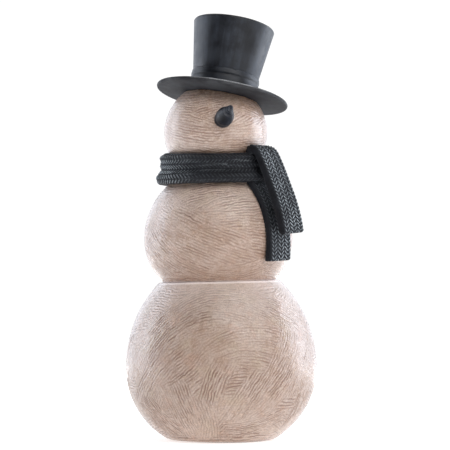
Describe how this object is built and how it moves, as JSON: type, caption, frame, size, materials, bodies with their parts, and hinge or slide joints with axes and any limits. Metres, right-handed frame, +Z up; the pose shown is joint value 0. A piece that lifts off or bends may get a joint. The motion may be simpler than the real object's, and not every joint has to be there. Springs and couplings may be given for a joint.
{
  "type": "wooden snowman figure",
  "caption": "Free-standing carved snowman of stacked balls with a tipped top hat, a carrot nose and a carved knit scarf.",
  "frame": {"origin": "centre of the felt foot's underside, where the figure stands", "axes": "+Z up through the balls, -Y out of the face towards the viewer, +X to the figure's own left"},
  "size_m": [0.1346, 0.1346, 0.2989],
  "materials": {
    "whitewashed_wood": "whitewashed, combed grooves, satin",
    "black_painted_wood": "satin black paint",
    "charcoal_painted_wood": "carved knit, charcoal paint dry-brushed with grey",
    "dowel_wood": "bare beech",
    "felt": "pressed felt",
    "pin_steel": "bright wire"
  },
  "bodies": {
    "root": {"felt_foot": "felt", "lower_ball": "whitewashed_wood", "waist_dowel": "dowel_wood", "middle_ball": "whitewashed_wood", "neck_dowel": "dowel_wood", "head_ball": "whitewashed_wood", "hat_dowel": "dowel_wood", "hat_brim": "black_painted_wood", "hat_crown": "black_painted_wood", "hat_band": "black_painted_wood", "nose_peg": "dowel_wood", "nose": "black_painted_wood", "scarf_loop": "charcoal_painted_wood", "scarf_back_tail": "charcoal_painted_wood", "scarf_front_tail": "charcoal_painted_wood", "front_tail_pin": "pin_steel", "back_tail_pin": "pin_steel"}
  },
  "joints": []
}
